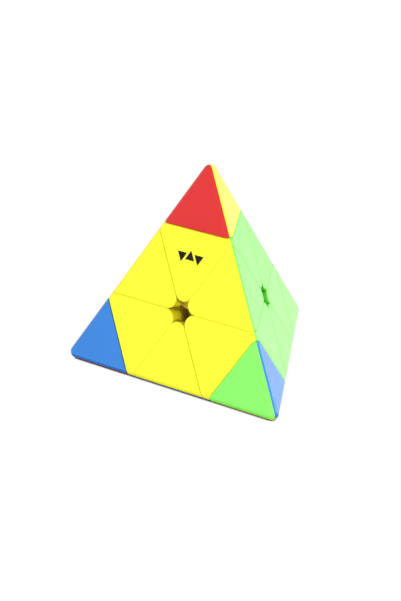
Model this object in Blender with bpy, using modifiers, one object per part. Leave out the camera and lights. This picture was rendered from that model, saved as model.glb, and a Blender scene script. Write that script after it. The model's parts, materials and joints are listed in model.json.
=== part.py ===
"""Pyramid twisty puzzle: four turning corner layers and four turning tips around one hidden core.

The origin is the centre of the core, where all four turning axes meet. +Z runs through the top
corner and the front face looks towards -Y. Every piece is drawn once, for the top corner or for
the front lower edge, and set in its places by the twelve rotations of the tetrahedron, so pieces
of one kind are exactly alike and any layer lines up again after a third of a turn.
"""

import math

import bmesh
import bpy
from mathutils import Matrix, Vector

MM = 0.001

# Outside
EDGE = 98.0 * MM  # side of the sharp tetrahedron whose four planes are the faces
ROUNDING = 2.3 * MM  # radius along the six long edges and round the four corners
TIP_EDGE = 32.0 * MM  # from the sharp corner to the tip's cut, along a long edge
GAP = 0.3 * MM  # free space between neighbouring pieces
HOLE_ROUNDING = 3.6 * MM  # radius of the six corners that meet in the middle of a face
CAP_FLOOR = 14.5 * MM  # flat underside of the layer and edge caps, from the centre
TIP_SHELL = 3.0 * MM  # thickness of a tip's caps
ROUNDING_STEPS = 4
HOLE_STEPS = 4

# Hidden mechanism, as radii and heights along one turning axis
CORE_RADIUS = 9.0 * MM
CORE_FLAT = 8.6 * MM
CORE_FLAT_RADIUS = 5.0 * MM
PILOT_RADIUS = 1.5 * MM
PILOT_DEPTH = 4.6 * MM
PILOT_POINT = 3.4 * MM
FOOT_INSIDE = 9.55 * MM
FOOT_OUTSIDE = 12.9 * MM
FOOT_ANGLE = math.radians(69.0)
NECK_TOP = 14.2 * MM
SKIRT_UNDER = 13.25 * MM
SKIRT_ANGLE = math.radians(46.8)
SHOULDER_RADIUS = 9.9 * MM
SHOULDER_LOW = 14.0 * MM
SHOULDER_TOP = 17.5 * MM
HUB_BOTTOM = 9.4 * MM
HUB_POST = 5.8 * MM
COLLAR_RADIUS = 6.8 * MM
SCREW_BORE = 1.8 * MM
SPRING_SEAT = 13.4 * MM
SPRING_BORE = 3.7 * MM
SOCKET_FLOOR = 25.0 * MM
SOCKET_RADIUS = 5.2 * MM
SNAP_LOW = 28.4 * MM
SNAP_HIGH = 30.6 * MM
SNAP_GROOVE = 5.8 * MM
SNAP_SLOPE = 0.4 * MM
STEM_RADIUS = 4.9 * MM
STEM_BEAD = 5.45 * MM
STEM_CHAMFER = 0.6 * MM
STEM_ROOT = 1.0 * MM  # how far the round stem reaches into the tip's inner pyramid
SCREW_RADIUS = 1.2 * MM
SCREW_END = 5.0 * MM
SCREW_POINT = 0.8 * MM
SCREW_HEAD_LOW = 20.6 * MM
SCREW_HEAD_TOP = 22.8 * MM
SCREW_HEAD = 3.1 * MM
SCREW_CROWN = 1.0 * MM
DRIVE_LENGTH = 1.6 * MM
DRIVE_WIDTH = 0.4 * MM
DRIVE_DEPTH = 1.3 * MM
SPRING_RADIUS = 2.45 * MM
SPRING_WIRE = 0.35 * MM
SPRING_TURNS = 4
POINTS_PER_TURN = 10
CLOSED_COILS = 0.35  # how strongly the spring's end coils lie flat
FOOT_ROOT_HALF = 8.6 * MM
FOOT_ROOT_TOP = 26.0 * MM
ROUND_STEPS = 32
BALL_SEGMENTS = 36
BALL_RINGS = 16
SMOOTH_ANGLE = math.radians(35.0)
MERGE = 0.0001  # of a turned outline's points on its axis
WELD = 1e-7

HEIGHT = EDGE * math.sqrt(2 / 3)
FACE = HEIGHT / 4  # from the centre to each face
LAYER = HEIGHT / 12  # from the centre to each layer's cut, which crosses the faces' middles
TIP_CUT = HEIGHT * 0.75 - TIP_EDGE * math.sqrt(2 / 3)
NECK_ANGLE = math.acos((LAYER + GAP / 2) / NECK_TOP)
REACH = 40.0 * MM  # beyond the widest piece, for helper solids

CORNERS = ("top", "left", "right", "back")
FACE_OPPOSITE = {"back": "front", "left": "right_side", "right": "left_side", "top": "bottom"}
SHARP = {
    "top": Vector((0, 0, HEIGHT * 0.75)),
    "left": Vector((-EDGE / 2, -EDGE / math.sqrt(12), -FACE)),
    "right": Vector((EDGE / 2, -EDGE / math.sqrt(12), -FACE)),
    "back": Vector((0, EDGE / math.sqrt(3), -FACE)),
}
AXIS = {corner: point.normalized() for corner, point in SHARP.items()}
FRONT = -AXIS["back"]
UP_FRONT = (AXIS["top"] - FRONT * AXIS["top"].dot(FRONT)).normalized()

BODY_COLOUR = {"front": "yellow", "right_side": "green", "left_side": "red", "bottom": "blue"}
TIP_COLOUR = {
    "top": {"front": "red", "right_side": "yellow", "left_side": "green"},
    "left": {"front": "blue", "bottom": "red", "left_side": "yellow"},
    "right": {"front": "green", "right_side": "blue", "bottom": "yellow"},
    "back": {"right_side": "green", "left_side": "red", "bottom": "blue"},
}
COLOURS = {
    "yellow": (0.95, 0.87, 0.03),
    "red": (0.72, 0.04, 0.04),
    "blue": (0.05, 0.24, 0.70),
    "green": (0.20, 0.85, 0.12),
    "inner": (0.42, 0.31, 0.05),
    "steel": (0.55, 0.55, 0.57),
}


# ---------------------------------------------------------------- scene and materials


def clear_scene():
    for old in list(bpy.data.objects):
        bpy.data.objects.remove(old, do_unlink=True)


def collection(name, hidden=False):
    made = bpy.data.collections.new(name)
    bpy.context.scene.collection.children.link(made)
    made.hide_render = hidden
    return made


def material(name, colour, metallic=0.0, roughness=0.3):
    made = bpy.data.materials.new(name)
    made.use_nodes = True
    shader = made.node_tree.nodes["Principled BSDF"]
    shader.inputs["Base Color"].default_value = (*colour, 1.0)
    shader.inputs["Metallic"].default_value = metallic
    shader.inputs["Roughness"].default_value = roughness
    return made


def piece(name, data, colour, matrix):
    """One named sub-part with its own material; its origin is the centre that every axis crosses."""
    obj = bpy.data.objects.new(name, data.copy())
    PUZZLE.objects.link(obj)
    obj.matrix_world = matrix
    metallic = 1.0 if colour == "steel" else 0.0
    obj.data.materials.clear()
    obj.data.materials.append(material(name + "_material", COLOURS[colour], metallic))
    return obj


def helper(name, mesh, matrix=None):
    """A shape that pieces are made from; it is not part of the puzzle."""
    obj = bpy.data.objects.new(name, mesh)
    HELPERS.objects.link(obj)
    obj.matrix_world = matrix or Matrix.Identity(4)
    obj.hide_render = True
    obj.display_type = "WIRE"
    return obj


# ---------------------------------------------------------------- drawing


def mesh_from(bm, name):
    bmesh.ops.recalc_face_normals(bm, faces=bm.faces)
    mesh = bpy.data.meshes.new(name)
    bm.to_mesh(mesh)
    bm.free()
    return mesh


def between(low, high, steps):
    return [low + (high - low) * i / steps for i in range(steps + 1)]


def on_ray(radius, angle):
    """The (radius, height) point this far from the centre, at an angle from the axis."""
    return (radius * math.sin(angle), radius * math.cos(angle))


def rounded_tetrahedron():
    """The whole outside, as the hull of four balls set in from the sharp corners."""
    bm = bmesh.new()
    for corner in CORNERS:
        normals = [-AXIS[other] for other in CORNERS if other != corner]
        centre = SHARP[corner] - AXIS[corner] * 3 * ROUNDING
        for i in range(ROUNDING_STEPS + 1):
            for j in range(ROUNDING_STEPS + 1 - i):
                k = ROUNDING_STEPS - i - j
                way = normals[0] * i + normals[1] * j + normals[2] * k
                bm.verts.new(centre + way.normalized() * ROUNDING)
    hull = bmesh.ops.convex_hull(bm, input=bm.verts)
    every = set(bm.verts)
    loose = {g for g in hull["geom_interior"] + hull["geom_unused"] if g in every}
    bmesh.ops.delete(bm, geom=list(loose), context="VERTS")
    bmesh.ops.dissolve_limit(bm, angle_limit=0.001, verts=bm.verts, edges=bm.edges)
    return bm


def keep_below(bm, normal, distance, start=None):
    """Cuts away what lies beyond the plane at this distance from the centre or from `start`."""
    found = bmesh.ops.bisect_plane(
        bm,
        geom=bm.verts[:] + bm.edges[:] + bm.faces[:],
        dist=WELD,
        plane_co=(start or Vector()) + normal * distance,
        plane_no=normal,
        clear_outer=True,
    )
    edges = [g for g in found["geom_cut"] if isinstance(g, bmesh.types.BMEdge)]
    if edges:
        bmesh.ops.contextual_create(bm, geom=edges)


def keep_above(bm, normal, distance):
    keep_below(bm, -normal, -distance)


def split_beside(bm, corner_a, corner_b):
    """Keeps the front side of the plane through the centre and the long edge between two corners."""
    normal = AXIS[corner_a].cross(AXIS[corner_b]).normalized()
    if normal.dot(FRONT) < 0:
        normal = -normal
    keep_above(bm, normal, GAP / 4)


def round_hole_corner(bm, inward):
    """Rounds the corner that points at the middle of the front face; `inward` runs away from it."""
    centre = FRONT * FACE + inward * 2 * HOLE_ROUNDING
    across = FRONT.cross(inward)
    for angle in between(-math.radians(60), math.radians(60), HOLE_STEPS + 1)[1:-1]:
        way = -inward * math.cos(angle) + across * math.sin(angle)
        keep_below(bm, way, HOLE_ROUNDING, centre)


def sideways(corner):
    """Directions square to a corner's axis, each towards one of the three faces that meet there."""
    towards = [-AXIS[other] for other in CORNERS if other != corner]
    return [(way - AXIS[corner] * way.dot(AXIS[corner])).normalized() for way in towards]


def axial_cap_shape():
    """Front third of the top layer's corner piece: a thick plate between the tip and the face's middle."""
    bm = rounded_tetrahedron()
    keep_below(bm, AXIS["top"], TIP_CUT - GAP / 2)
    keep_above(bm, AXIS["top"], LAYER + GAP / 2)
    for other in ("left", "right", "back"):
        keep_below(bm, AXIS[other], LAYER - GAP / 2)
    split_beside(bm, "top", "left")
    split_beside(bm, "top", "right")
    round_hole_corner(bm, UP_FRONT)
    keep_above(bm, FRONT, CAP_FLOOR)
    beside_collar = (FRONT - AXIS["top"] * FRONT.dot(AXIS["top"])).normalized()
    keep_above(bm, beside_collar, COLLAR_RADIUS + GAP)
    return bm


def tip_cap_shape():
    """Front side of the top tip: a plate that meets its two neighbours in mitres."""
    bm = rounded_tetrahedron()
    keep_above(bm, AXIS["top"], TIP_CUT + GAP / 2)
    split_beside(bm, "top", "left")
    split_beside(bm, "top", "right")
    keep_above(bm, FRONT, FACE - TIP_SHELL)
    return bm


def edge_cap_shape():
    """Front half of the lower front edge piece, a thick plate."""
    bm = rounded_tetrahedron()
    for end in ("left", "right"):
        keep_above(bm, AXIS[end], LAYER + GAP / 2)
    for other in ("top", "back"):
        keep_below(bm, AXIS[other], LAYER - GAP / 2)
    split_beside(bm, "left", "right")
    round_hole_corner(bm, -UP_FRONT)
    keep_above(bm, FRONT, CAP_FLOOR)
    return bm


def turned(name, outline, steps=ROUND_STEPS, matrix=None):
    """A solid of revolution from (radius, height) points listed from the bottom up its outer side."""
    bm = bmesh.new()
    points = [bm.verts.new((radius, 0, height)) for radius, height in reversed(outline)]
    for pair in zip(points, points[1:]):
        bm.edges.new(pair)
    profile = bpy.data.meshes.new(name)
    bm.to_mesh(profile)
    bm.free()
    obj = helper(name, profile, matrix)
    turn = obj.modifiers.new("Turn", "SCREW")
    turn.steps = steps
    turn.render_steps = steps
    turn.use_merge_vertices = True
    turn.merge_threshold = MERGE
    return obj


def block(low, high, basis):
    """A box between two corners given along the three directions of `basis`."""
    bm = bmesh.new()
    bmesh.ops.create_cube(bm, size=1.0)
    size = [h - l for l, h in zip(low, high)]
    middle = [(h + l) / 2 for l, h in zip(low, high)]
    move = Matrix.Translation(Vector(middle)) @ Matrix.Diagonal((*size, 1.0))
    bmesh.ops.transform(bm, matrix=basis @ move, verts=bm.verts)
    return bm


def boolean(obj, other, operation):
    made = obj.modifiers.new(operation.title(), "BOOLEAN")
    made.operation = operation
    made.solver = "EXACT"
    made.object = other


def settled(obj):
    """The mesh with its modifiers applied, to be set in every place it is used."""
    bpy.context.view_layer.update()
    graph = bpy.context.evaluated_depsgraph_get()
    mesh = bpy.data.meshes.new_from_object(obj.evaluated_get(graph))
    obj.modifiers.clear()
    mesh.shade_smooth()
    mesh.set_sharp_from_angle(angle=SMOOTH_ANGLE)
    return mesh


def place(corner, opposite):
    """The rotation that takes the top corner to `corner` and the back corner to `opposite`."""
    start = Matrix((AXIS["top"], AXIS["back"], AXIS["top"].cross(AXIS["back"]))).transposed()
    end = Matrix((AXIS[corner], AXIS[opposite], AXIS[corner].cross(AXIS[opposite]))).transposed()
    return (end @ start.inverted()).to_4x4()


def upright(corner):
    """A rotation that takes the top corner's axis to this corner's, for pieces turned about it."""
    return place(corner, "back" if corner != "back" else "top")


# ---------------------------------------------------------------- hidden pieces, about the top axis


def hub_mesh():
    """Foot, skirt over the edge feet, three-sided body behind the caps, and the bore through it all."""
    rim = TIP_CUT - GAP / 2
    skirt_start = math.asin(HUB_POST / SKIRT_UNDER)
    outline = [(0, HUB_BOTTOM), (HUB_POST, HUB_BOTTOM)]
    outline += [on_ray(SKIRT_UNDER, angle) for angle in between(skirt_start, SKIRT_ANGLE, 4)]
    outline += [
        on_ray(NECK_TOP, SKIRT_ANGLE),
        (SHOULDER_RADIUS, SHOULDER_LOW),
        (COLLAR_RADIUS, SHOULDER_TOP),
        (COLLAR_RADIUS, rim - GAP),
        (0, rim - GAP),
    ]
    body = block((-REACH, -REACH, SHOULDER_LOW), (REACH, REACH, rim), Matrix.Identity(4))
    for way in sideways("top"):
        keep_below(body, way, COLLAR_RADIUS)
    for other in ("left", "right", "back"):
        keep_below(body, AXIS[other], LAYER - GAP / 2)
        keep_below(body, -AXIS[other], CAP_FLOOR - GAP)
    bore = [
        (0, HUB_BOTTOM - GAP),
        (SCREW_BORE, HUB_BOTTOM - GAP),
        (SCREW_BORE, SPRING_SEAT),
        (SPRING_BORE, SPRING_SEAT),
        (SPRING_BORE, SOCKET_FLOOR),
        (SOCKET_RADIUS, SOCKET_FLOOR),
        (SOCKET_RADIUS, SNAP_LOW - SNAP_SLOPE),
        (SNAP_GROOVE, SNAP_LOW),
        (SNAP_GROOVE, SNAP_HIGH),
        (SOCKET_RADIUS, SNAP_HIGH + SNAP_SLOPE),
        (SOCKET_RADIUS, rim + GAP),
        (0, rim + GAP),
    ]
    hub = turned("hub_outside", outline)
    boolean(hub, helper("hub_body", mesh_from(body, "hub_body")), "UNION")
    boolean(hub, turned("hub_bore", bore), "DIFFERENCE")
    return settled(hub)


def stem_mesh():
    """A tip's inner pyramid, which carries the three caps, on the round stem that turns in the hub."""
    low = TIP_CUT + GAP / 2
    foot = SOCKET_FLOOR + GAP
    outline = [
        (0, foot),
        (STEM_RADIUS - STEM_CHAMFER, foot),
        (STEM_RADIUS, foot + STEM_CHAMFER),
        (STEM_RADIUS, SNAP_LOW + SNAP_SLOPE / 2),
        (STEM_BEAD, SNAP_LOW + STEM_CHAMFER),
        (STEM_BEAD, SNAP_HIGH - STEM_CHAMFER),
        (STEM_RADIUS, SNAP_HIGH - SNAP_SLOPE / 2),
        (STEM_RADIUS, low + STEM_ROOT),
        (0, low + STEM_ROOT),
    ]
    pyramid = block((-REACH, -REACH, low), (REACH, REACH, low + REACH), Matrix.Identity(4))
    for other in ("left", "right", "back"):
        keep_below(pyramid, -AXIS[other], FACE - TIP_SHELL - GAP)
    stem = turned("stem_round", outline)
    boolean(stem, helper("stem_pyramid", mesh_from(pyramid, "stem_pyramid")), "UNION")
    return settled(stem)


def screw_mesh():
    outline = [
        (0, SCREW_END),
        (SCREW_RADIUS / 2, SCREW_END),
        (SCREW_RADIUS, SCREW_END + SCREW_POINT),
        (SCREW_RADIUS, SCREW_HEAD_LOW),
        (SCREW_HEAD, SCREW_HEAD_LOW),
        (SCREW_HEAD, SCREW_HEAD_TOP - SCREW_CROWN),
        (SCREW_HEAD - SCREW_CROWN, SCREW_HEAD_TOP),
        (0, SCREW_HEAD_TOP),
    ]
    screw = turned("screw", outline, ROUND_STEPS // 2)
    low = (-DRIVE_LENGTH, -DRIVE_WIDTH, SCREW_HEAD_TOP - DRIVE_DEPTH)
    high = (DRIVE_LENGTH, DRIVE_WIDTH, SCREW_HEAD_TOP + DRIVE_DEPTH)
    for way in (0, 90):
        name = f"drive_slot_{way}"
        slot = block(low, high, Matrix.Rotation(math.radians(way), 4, "Z"))
        boolean(screw, helper(name, mesh_from(slot, name)), "DIFFERENCE")
    return settled(screw)


def spring_curve():
    low = SPRING_SEAT + SPRING_WIRE + GAP / 2
    high = SCREW_HEAD_LOW - SPRING_WIRE - GAP / 2
    curve = bpy.data.curves.new("spring_wire", "CURVE")
    curve.dimensions = "3D"
    curve.bevel_depth = SPRING_WIRE
    curve.bevel_resolution = 2
    curve.use_fill_caps = True
    count = SPRING_TURNS * POINTS_PER_TURN
    spline = curve.splines.new("POLY")
    spline.points.add(count)
    for i in range(count + 1):
        share = i / count
        eased = 0.5 - 0.5 * math.cos(math.pi * share)
        rise = CLOSED_COILS * eased + (1 - CLOSED_COILS) * share
        angle = 2 * math.pi * SPRING_TURNS * share
        x = SPRING_RADIUS * math.cos(angle)
        y = SPRING_RADIUS * math.sin(angle)
        spline.points[i].co = (x, y, low + (high - low) * rise, 1)
    return curve


# ---------------------------------------------------------------- hidden foot of an edge piece


def ball(name, radius):
    bm = bmesh.new()
    bmesh.ops.create_uvsphere(
        bm, u_segments=BALL_SEGMENTS, v_segments=BALL_RINGS, radius=radius
    )
    return helper(name, mesh_from(bm, name))


def layer_inside(corner):
    """All of a corner's layer that feet and necks may fill, as one turned solid."""
    edge_low = on_ray(FOOT_INSIDE / 2, FOOT_ANGLE)
    outline = [(0, edge_low[1]), edge_low]
    outline += [on_ray(FOOT_OUTSIDE, angle) for angle in between(FOOT_ANGLE, NECK_ANGLE, 2)]
    outline += [on_ray(NECK_TOP, NECK_ANGLE), (REACH, LAYER + GAP / 2), (REACH, REACH), (0, REACH)]
    return turned("layer_" + corner, outline, 2 * ROUND_STEPS, upright(corner))


def foot_mesh():
    """Foot of the lower front edge: a piece of a ball shell under the skirts, and a root for the caps."""
    out = (AXIS["left"] + AXIS["right"]).normalized()
    along = (SHARP["right"] - SHARP["left"]).normalized()
    basis = Matrix((along, out.cross(along), out)).transposed().to_4x4()
    low = (-REACH / 2, -FOOT_ROOT_HALF, FOOT_INSIDE / 2)
    high = (REACH / 2, FOOT_ROOT_HALF, FOOT_ROOT_TOP)
    root = block(low, high, basis)
    for opposite in ("top", "back"):
        keep_below(root, -AXIS[opposite], CAP_FLOOR - GAP)
    foot = ball("foot_ball", FOOT_OUTSIDE)
    boolean(foot, helper("foot_root", mesh_from(root, "foot_root")), "UNION")
    boolean(foot, ball("foot_hollow", FOOT_INSIDE), "DIFFERENCE")
    for end in ("left", "right"):
        boolean(foot, layer_inside(end), "INTERSECT")
    return settled(foot)


def core_mesh():
    """The ball in the middle, with a flat and a pilot hole on each of the four axes."""
    core = ball("core_ball", CORE_RADIUS)
    outline = [
        (0, PILOT_POINT),
        (PILOT_RADIUS, PILOT_DEPTH),
        (PILOT_RADIUS, CORE_FLAT),
        (CORE_FLAT_RADIUS, CORE_FLAT),
        (CORE_FLAT_RADIUS, 2 * CORE_RADIUS),
        (0, 2 * CORE_RADIUS),
    ]
    for corner in CORNERS:
        pilot = turned("pilot_" + corner, outline, ROUND_STEPS // 2, upright(corner))
        boolean(core, pilot, "DIFFERENCE")
    return settled(core)


# ---------------------------------------------------------------- the puzzle

clear_scene()
PUZZLE = collection("pyramid_twisty_puzzle")
HELPERS = collection("construction_helpers", hidden=True)

axial_cap = settled(helper("axial_cap", mesh_from(axial_cap_shape(), "axial_cap")))
tip_cap = settled(helper("tip_cap", mesh_from(tip_cap_shape(), "tip_cap")))
edge_cap = settled(helper("edge_cap", mesh_from(edge_cap_shape(), "edge_cap")))
hub = hub_mesh()
stem = stem_mesh()
screw = screw_mesh()
spring = spring_curve()
foot = foot_mesh()

piece("core", core_mesh(), "inner", Matrix.Identity(4))

for corner in CORNERS:
    others = [other for other in CORNERS if other != corner]
    piece("axial_hub_" + corner, hub, "inner", upright(corner))
    piece("tip_stem_" + corner, stem, "inner", upright(corner))
    piece("screw_" + corner, screw, "steel", upright(corner))
    piece("spring_" + corner, spring, "steel", upright(corner))
    for opposite in others:
        face = FACE_OPPOSITE[opposite]
        there = place(corner, opposite)
        piece(f"axial_cap_{corner}_{face}", axial_cap, BODY_COLOUR[face], there)
        piece(f"tip_cap_{corner}_{face}", tip_cap, TIP_COLOUR[corner][face], there)
        ends = "_".join(other for other in others if other != opposite)
        piece(f"edge_cap_{ends}_{face}", edge_cap, BODY_COLOUR[face], there)

for i, first in enumerate(CORNERS):
    for second in CORNERS[i + 1 :]:
        rest = [other for other in CORNERS if other not in (first, second)]
        piece(f"edge_foot_{first}_{second}", foot, "inner", place(rest[0], rest[1]))
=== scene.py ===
"""Looks of the pyramid twisty puzzle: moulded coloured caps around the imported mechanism.

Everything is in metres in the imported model's frame. The origin is where the turning axes meet,
so a cap is drawn once, for the top corner's front side or the lower front edge, and set in its
twelve places by the rotations of the tetrahedron.
"""

import json
import math

import bmesh
import bpy
from mathutils import Matrix, Vector

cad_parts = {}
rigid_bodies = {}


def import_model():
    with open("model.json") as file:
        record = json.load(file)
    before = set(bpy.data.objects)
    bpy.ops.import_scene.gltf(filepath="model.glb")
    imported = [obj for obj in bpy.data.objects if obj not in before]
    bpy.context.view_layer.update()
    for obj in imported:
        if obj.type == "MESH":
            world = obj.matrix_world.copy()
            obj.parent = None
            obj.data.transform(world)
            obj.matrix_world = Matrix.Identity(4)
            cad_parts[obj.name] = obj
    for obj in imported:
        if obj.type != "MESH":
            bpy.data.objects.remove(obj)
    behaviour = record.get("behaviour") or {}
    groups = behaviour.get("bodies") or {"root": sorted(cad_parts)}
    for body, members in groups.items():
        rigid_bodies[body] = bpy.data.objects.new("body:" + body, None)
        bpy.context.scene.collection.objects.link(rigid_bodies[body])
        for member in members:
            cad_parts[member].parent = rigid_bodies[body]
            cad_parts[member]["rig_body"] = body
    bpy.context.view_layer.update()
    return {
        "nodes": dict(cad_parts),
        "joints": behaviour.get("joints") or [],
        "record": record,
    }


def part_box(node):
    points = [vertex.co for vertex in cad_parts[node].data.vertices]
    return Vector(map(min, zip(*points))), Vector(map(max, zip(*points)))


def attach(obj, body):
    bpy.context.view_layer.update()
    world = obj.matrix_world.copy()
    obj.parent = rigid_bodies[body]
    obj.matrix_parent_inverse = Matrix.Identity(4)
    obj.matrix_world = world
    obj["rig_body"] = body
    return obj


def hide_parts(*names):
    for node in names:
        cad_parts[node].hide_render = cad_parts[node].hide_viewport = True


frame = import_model()

MM = 0.001
CORNERS = ("top", "left", "right", "back")
FACE_OPPOSITE = {"back": "front", "left": "right_side", "right": "left_side", "top": "bottom"}
JOINTS = {joint["name"]: joint for joint in frame["joints"]}
AXIS = {c: Vector(JOINTS[f"turn_{c}_layer"]["axis"]).normalized() for c in CORNERS}
SLOT_OF = {part["node"]: part["material_slot"] for part in frame["record"]["subparts"]}
FRONT = -AXIS["back"]
UP_FRONT = (AXIS["top"] - FRONT * AXIS["top"].dot(FRONT)).normalized()

# The outside follows from the height of the centre above the base, and a tip's cut lies midway
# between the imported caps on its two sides.
FACE = -frame["record"]["mounts"][0]["pos_m"][2]
HEIGHT = 4 * FACE
LAYER = HEIGHT / 12  # the layers' cuts, from the centre, run through the middles of the faces
TIP_CUT = (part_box("axial_cap_top_front")[1].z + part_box("tip_cap_top_front")[0].z) / 2
CAP_FLOOR = 14.5 * MM  # underside of the layer and edge caps, from the centre
TIP_SHELL = 3.0 * MM  # thickness of a tip's caps
COLLAR_CLEAR = 7.1 * MM  # the layer caps stand this far from their axis

ROUNDING = 2.3 * MM  # long edges and corners of the pyramid
ROUNDING_STEPS = 8
SEAM = 0.06 * MM  # gap between neighbouring layers
TIP_SEAM = 0.2 * MM  # between a tip and its layer
SPLIT_SEAM = 0.06 * MM  # between two caps of one piece, along a long edge
SEAM_FILLET = 0.45 * MM  # rounded lips of the seams
FILLET_STEPS = 4
FILLET_FROM = math.radians(25)  # edges less sharp than this get no lip
PAINTED_SHADE_REACH = 0.75 * SEAM_FILLET  # the painted shade on the walls fades out this far from a seam's plane
WALL_FACING = 0.45  # outer faces turn further to the front than this, walls and undersides less
HOLE_ROUNDING = 3.6 * MM  # the corners round the hole in each face
HOLE_ARC = math.radians(60)  # their arc, to either side of the corner
HOLE_STEPS = 10
SMOOTH_UNDER = math.radians(38)  # edges sharper than this stay sharp in the shading
SAME_POINT = 1e-7
SAME_DIRECTION = 0.001  # radians
SAME_PLANE = 1e-4  # how far the cosine between two normals may be from 1

# ---------------------------------------------------------------- materials

NOISE_RANGE = (0.3, 0.7)  # nearly all of a noise texture's values lie between these
SWIRLS_PER_M = 45
SHEEN_PER_M = 70
SHEEN_SPREAD = 0.02
GRAIN_PER_M = 3200
GRAIN_DEPTH = 0.02 * MM
GRAIN_STRENGTH = 0.05
PLASTIC_IOR = 1.5
DRAW_MARKS_PER_M = 900
INK_SPOTS_PER_M = 2600


def new_material(name):
    made = bpy.data.materials.new(name)
    made.use_nodes = True
    nodes = made.node_tree.nodes
    return made, nodes, made.node_tree.links, nodes["Principled BSDF"]


def noise(nodes, links, scale, detail, roughness=0.5):
    """Noise in the object's own coordinates, at `scale` features per metre."""
    coordinates = nodes.new("ShaderNodeTexCoord")
    made = nodes.new("ShaderNodeTexNoise")
    made.inputs["Scale"].default_value = scale
    made.inputs["Detail"].default_value = detail
    made.inputs["Roughness"].default_value = roughness
    links.new(coordinates.outputs["Object"], made.inputs["Vector"])
    return made


def grey(value):
    return (value, value, value)


def ramp(nodes, links, source, low, high, ends=NOISE_RANGE):
    """Colours from `low` to `high` as the source goes from one of the ends to the other."""
    made = nodes.new("ShaderNodeValToRGB")
    links.new(source, made.inputs["Fac"])
    for element, position, colour in zip(made.color_ramp.elements, ends, (low, high)):
        element.position = position
        element.color = (*colour, 1.0)
    return made


def swirls(nodes, links, colour):
    """Faint swirls of a slightly darker and a slightly lighter tint, as in dyed plastic."""
    tint = noise(nodes, links, SWIRLS_PER_M, 3)
    low = tuple(c * 0.975 for c in colour)
    high = tuple(min(1.0, c * 1.015 + 0.002) for c in colour)
    return ramp(nodes, links, tint.outputs["Fac"], low, high)


def moulded_plastic(name, colour, seam_shade_colour=None, roughness=0.3):
    """Dyed plastic with a satin sheen that varies a little and a very fine grain.

    The second colour, when given, is painted shade: a darker, richer tint on a cap's walls inside
    the seams and round the hole of its face.
    """
    made, nodes, links, shader = new_material(name)
    shade = swirls(nodes, links, colour)
    # painted shade: near a seam's or the hole's wall the darker colour takes over
    if seam_shade_colour:
        painted_shade = swirls(nodes, links, seam_shade_colour)
        painted_seam_shade = nodes.new("ShaderNodeAttribute")
        painted_seam_shade.attribute_name = "painted_seam_shade"
        mixed = nodes.new("ShaderNodeMix")
        mixed.data_type = "RGBA"
        links.new(painted_seam_shade.outputs["Fac"], mixed.inputs[0])
        links.new(shade.outputs["Color"], mixed.inputs[6])
        links.new(painted_shade.outputs["Color"], mixed.inputs[7])
        links.new(mixed.outputs[2], shader.inputs["Base Color"])
    else:
        links.new(shade.outputs["Color"], shader.inputs["Base Color"])
    sheen = noise(nodes, links, SHEEN_PER_M, 2)
    rough_range = nodes.new("ShaderNodeMapRange")
    rough_range.inputs["From Min"].default_value = NOISE_RANGE[0]
    rough_range.inputs["From Max"].default_value = NOISE_RANGE[1]
    rough_range.inputs["To Min"].default_value = roughness - SHEEN_SPREAD
    rough_range.inputs["To Max"].default_value = roughness + SHEEN_SPREAD
    links.new(sheen.outputs["Fac"], rough_range.inputs["Value"])
    links.new(rough_range.outputs["Result"], shader.inputs["Roughness"])
    grain = noise(nodes, links, GRAIN_PER_M, 2)
    bump = nodes.new("ShaderNodeBump")
    bump.inputs["Strength"].default_value = GRAIN_STRENGTH
    bump.inputs["Distance"].default_value = GRAIN_DEPTH
    links.new(grain.outputs["Fac"], bump.inputs["Height"])
    links.new(bump.outputs["Normal"], shader.inputs["Normal"])
    shader.inputs["IOR"].default_value = PLASTIC_IOR
    return made


def drawn_steel(name):
    made, nodes, links, shader = new_material(name)
    marks = noise(nodes, links, DRAW_MARKS_PER_M, 5, 0.6)
    shade = ramp(nodes, links, marks.outputs["Fac"], (0.46, 0.46, 0.47), (0.62, 0.62, 0.64))
    links.new(shade.outputs["Color"], shader.inputs["Base Color"])
    dull = ramp(nodes, links, marks.outputs["Fac"], grey(0.22), grey(0.36))
    links.new(dull.outputs["Color"], shader.inputs["Roughness"])
    shader.inputs["Metallic"].default_value = 1.0
    return made


def printed_ink(name):
    made, nodes, links, shader = new_material(name)
    spots = noise(nodes, links, INK_SPOTS_PER_M, 3)
    shade = ramp(nodes, links, spots.outputs["Fac"], grey(0.006), (0.016, 0.016, 0.015), (0.3, 0.75))
    links.new(shade.outputs["Color"], shader.inputs["Base Color"])
    dull = ramp(nodes, links, spots.outputs["Fac"], grey(0.34), grey(0.46))
    links.new(dull.outputs["Color"], shader.inputs["Roughness"])
    shader.inputs["Specular IOR Level"].default_value = 0.15
    return made


# each plastic's second colour is painted shade for the walls in its seams and holes
MATERIALS = {
    "yellow_plastic": moulded_plastic("yellow_abs", (0.97, 0.93, 0.0165), (0.93, 0.84, 0.014)),
    "red_plastic": moulded_plastic("red_abs", (0.71, 0.0125, 0.0125), (0.6, 0.01, 0.01)),
    "blue_plastic": moulded_plastic("blue_abs", (0.0225, 0.216, 0.689), (0.015, 0.14, 0.5)),
    "green_plastic": moulded_plastic("green_abs", (0.235, 0.94, 0.125), (0.16, 0.8, 0.06)),
    "inner_plastic": moulded_plastic("inner_pom", (0.9, 0.7, 0.06), roughness=0.42),
    "steel": drawn_steel("drawn_steel"),
}
INK = printed_ink("printed_ink")

# ---------------------------------------------------------------- shape helpers


def between(low, high, steps):
    """Evenly spaced values, both ends included."""
    return [low + (high - low) * i / steps for i in range(steps + 1)]


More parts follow.
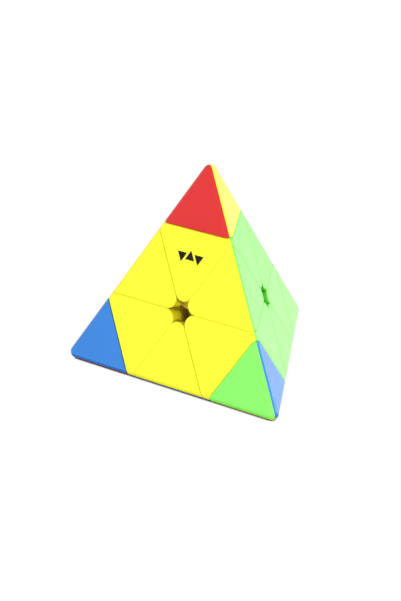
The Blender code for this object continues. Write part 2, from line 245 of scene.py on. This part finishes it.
def rounded_tetrahedron():
    """The whole pyramid with rounded edges and corners, as the hull of a ball at each corner."""
    bm = bmesh.new()
    for corner in CORNERS:
        normals = [-AXIS[other] for other in CORNERS if other != corner]
        # The sharp corner is 3/4 of the height from the middle, and a ball that touches its three
        # faces is centred three radii nearer.
        centre = AXIS[corner] * (HEIGHT * 0.75 - 3 * ROUNDING)
        for i in range(ROUNDING_STEPS + 1):
            for j in range(ROUNDING_STEPS + 1 - i):
                k = ROUNDING_STEPS - i - j
                way = normals[0] * i + normals[1] * j + normals[2] * k
                bm.verts.new(centre + way.normalized() * ROUNDING)
    hull = bmesh.ops.convex_hull(bm, input=bm.verts)
    loose = set(hull["geom_interior"] + hull["geom_unused"])
    bmesh.ops.delete(bm, geom=[vert for vert in bm.verts if vert in loose], context="VERTS")
    bmesh.ops.dissolve_limit(bm, angle_limit=SAME_DIRECTION, verts=bm.verts, edges=bm.edges)
    return bm


def keep_below(bm, normal, distance, start=None):
    """Cuts away what lies beyond the plane at this distance from the centre or from `start`."""
    found = bmesh.ops.bisect_plane(
        bm,
        geom=bm.verts[:] + bm.edges[:] + bm.faces[:],
        dist=SAME_POINT,
        plane_co=(start or Vector()) + normal * distance,
        plane_no=normal,
        clear_outer=True,
    )
    edges = [g for g in found["geom_cut"] if isinstance(g, bmesh.types.BMEdge)]
    if edges:
        bmesh.ops.contextual_create(bm, geom=edges)


def keep_above(bm, normal, distance):
    keep_below(bm, -normal, -distance)


def split_normal(corner_a, corner_b):
    """Of the plane through the centre and a long edge, pointing to the front."""
    normal = AXIS[corner_a].cross(AXIS[corner_b]).normalized()
    return normal if normal.dot(FRONT) > 0 else -normal


def round_hole_corner(bm, inward):
    """Rounds the corner that points at the middle of the front face; `inward` runs away from it."""
    centre = FRONT * FACE + inward * 2 * HOLE_ROUNDING
    across = FRONT.cross(inward)
    for angle in between(-HOLE_ARC, HOLE_ARC, HOLE_STEPS + 1)[1:-1]:
        way = -inward * math.cos(angle) + across * math.sin(angle)
        keep_below(bm, way, HOLE_ROUNDING, centre)


TOP_SPLITS = [split_normal("top", "left"), split_normal("top", "right")]
EDGE_SPLITS = [split_normal("left", "right")]


def axial_cap_body():
    """The cap on the front of the top corner piece."""
    bm = rounded_tetrahedron()
    keep_below(bm, AXIS["top"], TIP_CUT - TIP_SEAM / 2)
    keep_above(bm, AXIS["top"], LAYER + SEAM / 2)
    for other in ("left", "right", "back"):
        keep_below(bm, AXIS[other], LAYER - SEAM / 2)
    for normal in TOP_SPLITS:
        keep_above(bm, normal, SPLIT_SEAM / 2)
    round_hole_corner(bm, UP_FRONT)
    keep_above(bm, FRONT, CAP_FLOOR)
    beside_collar = (FRONT - AXIS["top"] * FRONT.dot(AXIS["top"])).normalized()
    keep_above(bm, beside_collar, COLLAR_CLEAR)
    return bm


def tip_cap_body():
    """The cap on the front of the top tip."""
    bm = rounded_tetrahedron()
    keep_above(bm, AXIS["top"], TIP_CUT + TIP_SEAM / 2)
    for normal in TOP_SPLITS:
        keep_above(bm, normal, SPLIT_SEAM / 2)
    keep_above(bm, FRONT, FACE - TIP_SHELL)
    return bm


def edge_cap_body():
    """The cap on the front of the edge piece between the left and right corners."""
    bm = rounded_tetrahedron()
    for end in ("left", "right"):
        keep_above(bm, AXIS[end], LAYER + SEAM / 2)
    for other in ("top", "back"):
        keep_below(bm, AXIS[other], LAYER - SEAM / 2)
    for normal in EDGE_SPLITS:
        keep_above(bm, normal, SPLIT_SEAM / 2)
    round_hole_corner(bm, -UP_FRONT)
    keep_above(bm, FRONT, CAP_FLOOR)
    return bm


def soften(bm, split_normals, seam_planes, hole_inward=None):
    """Rounds the edges along the seams; the split between two caps of one piece stays tight.

    Then it notes how near each point is to a seam's wall or the hole's, for the painted shade of the
    plastic there.
    """
    bmesh.ops.recalc_face_normals(bm, faces=bm.faces)

    def on_split(face):
        return any(abs(abs(face.normal.dot(n)) - 1) < SAME_PLANE for n in split_normals)

    rounded = []
    for edge in bm.edges:
        if len(edge.link_faces) != 2 or edge.calc_face_angle() < FILLET_FROM:
            continue
        if any(on_split(face) for face in edge.link_faces):
            continue
        facing = sorted(face.normal.dot(FRONT) for face in edge.link_faces)
        if facing[0] < WALL_FACING and facing[1] > WALL_FACING:
            rounded.append(edge)
    bmesh.ops.bevel(
        bm,
        geom=rounded,
        offset=SEAM_FILLET,
        offset_type="OFFSET",
        segments=FILLET_STEPS,
        profile=0.5,
        affect="EDGES",
        clamp_overlap=True,
    )
    # painted shade: 1 on a seam's or the hole's wall, fading to 0 a little way off
    painted_seam_shade = bm.verts.layers.float.new("painted_seam_shade")
    for vert in bm.verts:
        away = min(abs(vert.co.dot(normal) - distance) for normal, distance in seam_planes)
        if hole_inward:
            offset = vert.co - FRONT * FACE - hole_inward * 2 * HOLE_ROUNDING
            offset -= FRONT * offset.dot(FRONT)
            if offset.dot(hole_inward) < -offset.length / 2:
                away = min(away, abs(HOLE_ROUNDING - offset.length))
        vert[painted_seam_shade] = max(0.0, 1.0 - away / PAINTED_SHADE_REACH)


def mesh_from(bm, name):
    bmesh.ops.recalc_face_normals(bm, faces=bm.faces)
    mesh = bpy.data.meshes.new(name)
    bm.to_mesh(mesh)
    bm.free()
    return mesh


def finished(bm, name):
    mesh = mesh_from(bm, name)
    mesh.shade_smooth()
    mesh.set_sharp_from_angle(angle=SMOOTH_UNDER)
    return mesh


def place(corner, opposite):
    """The rotation that takes the top corner to `corner` and the back corner to `opposite`."""
    start = Matrix((AXIS["top"], AXIS["back"], AXIS["top"].cross(AXIS["back"]))).transposed()
    end = Matrix((AXIS[corner], AXIS[opposite], AXIS[corner].cross(AXIS[opposite]))).transposed()
    return (end @ start.inverted()).to_4x4()


# ---------------------------------------------------------------- the caps

OUTER = [(AXIS[c], LAYER) for c in ("left", "right", "back")]
axial_body = axial_cap_body()
soften(axial_body, TOP_SPLITS, [(AXIS["top"], LAYER), (AXIS["top"], TIP_CUT)] + OUTER, UP_FRONT)
AXIAL_CAP = finished(axial_body, "axial_cap")
tip_body = tip_cap_body()
soften(tip_body, TOP_SPLITS, [(AXIS["top"], TIP_CUT)])
TIP_CAP = finished(tip_body, "tip_cap")
edge_body = edge_cap_body()
soften(edge_body, EDGE_SPLITS, [(AXIS[c], LAYER) for c in CORNERS], -UP_FRONT)
EDGE_CAP = finished(edge_body, "edge_cap")


def add_cap(node, mesh, matrix):
    """A cap that stands for the CAD node of the same name and rides on its body."""
    cad = frame["nodes"][node]
    placed = mesh.copy()
    placed.transform(matrix)
    placed.materials.append(MATERIALS[SLOT_OF[node]])
    cap = bpy.data.objects.new("moulded_" + node, placed)
    bpy.context.scene.collection.objects.link(cap)
    normals = cap.modifiers.new("Flat_faces_stay_flat", "WEIGHTED_NORMAL")
    normals.keep_sharp = True
    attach(cap, cad["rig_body"])
    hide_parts(node)


for corner in CORNERS:
    for opposite in CORNERS:
        if opposite == corner:
            continue
        face = FACE_OPPOSITE[opposite]
        there = place(corner, opposite)
        ends = "_".join(c for c in CORNERS if c not in (corner, opposite))
        add_cap(f"axial_cap_{corner}_{face}", AXIAL_CAP, there)
        add_cap(f"tip_cap_{corner}_{face}", TIP_CAP, there)
        add_cap(f"edge_cap_{ends}_{face}", EDGE_CAP, there)

# ---------------------------------------------------------------- the CAD pieces that still show

for name, node in frame["nodes"].items():
    if node.hide_render:
        continue
    node.data.materials.clear()
    node.data.materials.append(MATERIALS[SLOT_OF[name]])

# ---------------------------------------------------------------- printed mark

MARK_HEIGHT = 19.5 * MM  # up the front face from its middle
MARK_SIZE = 2.3 * MM  # from a triangle's middle to its corners
MARK_PITCH = 3.6 * MM
INK_THICKNESS = 0.02 * MM


def printed_mark():
    """Three small plain triangles in a row, printed under the top tip on the front face."""
    side = UP_FRONT.cross(FRONT)
    middle = FRONT * FACE + UP_FRONT * MARK_HEIGHT
    for i in (-1, 0, 1):
        bm = bmesh.new()
        bmesh.ops.create_circle(bm, cap_ends=True, segments=3, radius=MARK_SIZE)
        spin = Matrix.Rotation(math.radians(180 if i % 2 else 0), 4, "Z")
        bmesh.ops.transform(bm, matrix=spin, verts=bm.verts)
        raised = bmesh.ops.extrude_face_region(bm, geom=bm.faces[:])
        top = [g for g in raised["geom"] if isinstance(g, bmesh.types.BMVert)]
        bmesh.ops.translate(bm, vec=(0, 0, INK_THICKNESS), verts=top)
        obj = bpy.data.objects.new(f"printed_triangle_{i + 2}", mesh_from(bm, "triangle"))
        bpy.context.scene.collection.objects.link(obj)
        basis = Matrix((side, UP_FRONT, FRONT)).transposed().to_4x4()
        obj.matrix_world = Matrix.Translation(middle + side * i * MARK_PITCH) @ basis
        obj.data.materials.append(INK)
        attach(obj, "top_layer")


printed_mark()

# ---------------------------------------------------------------- floor, light and camera

FLOOR_SIDE = 12
FLOOR_GAP = 0.1 * MM
FLOOR_MOTTLE_PER_M = 30
FOOT_REACH = 4 * MM  # painted contact shadow: the floor darkens this close to the puzzle
FOOT_ENDS = (0.16, 0.38)  # darkest and fully lit, as shares of open surroundings
AO_SAMPLES = 16

BRIGHTEST = 1.45
DARK = grey(0.01)
PAPER = grey(1.0)
SKY = grey(0.605)
# Brightness by the height of a direction, from 0 straight down to 1 straight up.
STUDIO_BANDS = ((0.22, DARK), (0.28, PAPER), (0.365, PAPER), (0.41, SKY))
LIT_POINT = Vector((0, 0, 10 * MM))

CAMERA_AT = Vector((0.3768, -0.4951, 0.2766))
CAMERA_TURN = math.radians(-37.67)  # where it looks, from +y towards +x
CAMERA_DOWN = math.radians(23.64)
CAMERA_ROLL = math.radians(-1.28)
LENS_MM = 171.5
SENSOR_MM = 36.0


def floor():
    """A plain white sweep that lights itself evenly, with a painted contact shadow only right at the
    puzzle's foot.
    """
    made, nodes, links, shader = new_material("white_sweep")
    paper = noise(nodes, links, FLOOR_MOTTLE_PER_M, 2)
    shade = ramp(nodes, links, paper.outputs["Fac"], grey(0.02), grey(0.03))
    links.new(shade.outputs["Color"], shader.inputs["Base Color"])
    shader.inputs["Roughness"].default_value = 0.9
    shader.inputs["Specular IOR Level"].default_value = 0.0
    # painted contact shadow: the floor's even glow fades to dark where the puzzle is near
    nearby = nodes.new("ShaderNodeAmbientOcclusion")
    nearby.samples = AO_SAMPLES
    nearby.inputs["Distance"].default_value = FOOT_REACH
    glow_and_painted_shadow = ramp(nodes, links, nearby.outputs["AO"], DARK, PAPER, FOOT_ENDS)
    links.new(glow_and_painted_shadow.outputs["Color"], shader.inputs["Emission Color"])
    shader.inputs["Emission Strength"].default_value = 1.0
    bpy.ops.mesh.primitive_plane_add(size=FLOOR_SIDE, location=(0, 0, -FACE - FLOOR_GAP))
    plane = bpy.context.object
    plane.name = "studio_floor"
    plane.data.materials.append(made)
    plane.visible_diffuse = False
    plane.visible_glossy = False


def softbox(name, location, size, watts):
    """A square light of this size in metres, aimed at the puzzle."""
    light = bpy.data.lights.new(name, "AREA")
    light.shape = "SQUARE"
    light.size = size
    light.energy = watts
    made = bpy.data.objects.new(name, light)
    bpy.context.scene.collection.objects.link(made)
    made.location = location
    way = LIT_POINT - made.location
    made.rotation_euler = way.to_track_quat("-Z", "Y").to_euler()


def studio_world():
    """White all round, brightest just below the horizon like lit paper, and dark from beneath."""
    world = bpy.data.worlds.new("white_studio")
    bpy.context.scene.world = world
    world.use_nodes = True
    nodes, links = world.node_tree.nodes, world.node_tree.links
    coordinates = nodes.new("ShaderNodeTexCoord")
    split = nodes.new("ShaderNodeSeparateXYZ")
    links.new(coordinates.outputs["Generated"], split.inputs["Vector"])
    height = nodes.new("ShaderNodeMapRange")
    height.inputs["From Min"].default_value = -1.0
    links.new(split.outputs["Z"], height.inputs["Value"])
    (start, low), (end, high), *further = STUDIO_BANDS
    bands = ramp(nodes, links, height.outputs["Result"], low, high, (start, end))
    for position, colour in further:
        bands.color_ramp.elements.new(position).color = (*colour, 1.0)
    links.new(bands.outputs["Color"], nodes["Background"].inputs["Color"])
    nodes["Background"].inputs["Strength"].default_value = BRIGHTEST


floor()
studio_world()
softbox("key_softbox", location=(0.52, -0.74, 0.17), size=0.32, watts=3.1)
softbox("right_softbox", location=(0.5, 0.75, 0.28), size=0.6, watts=6.0)
bpy.context.scene.view_settings.view_transform = "Standard"


def camera():
    """Long lens, from the front right and a little above."""
    forward = Vector(
        (
            math.sin(CAMERA_TURN) * math.cos(CAMERA_DOWN),
            math.cos(CAMERA_TURN) * math.cos(CAMERA_DOWN),
            -math.sin(CAMERA_DOWN),
        )
    )
    level = Vector((math.cos(CAMERA_TURN), -math.sin(CAMERA_TURN), 0))
    above = level.cross(forward)
    right = level * math.cos(CAMERA_ROLL) + above * math.sin(CAMERA_ROLL)
    up = -level * math.sin(CAMERA_ROLL) + above * math.cos(CAMERA_ROLL)
    lens = bpy.data.cameras.new("camera")
    lens.sensor_fit = "HORIZONTAL"
    lens.sensor_width = SENSOR_MM
    lens.lens = LENS_MM
    lens.clip_start = 0.01
    made = bpy.data.objects.new("camera", lens)
    bpy.context.scene.collection.objects.link(made)
    basis = Matrix((right, up, -forward)).transposed().to_4x4()
    made.matrix_world = Matrix.Translation(CAMERA_AT) @ basis
    bpy.context.scene.camera = made


camera()
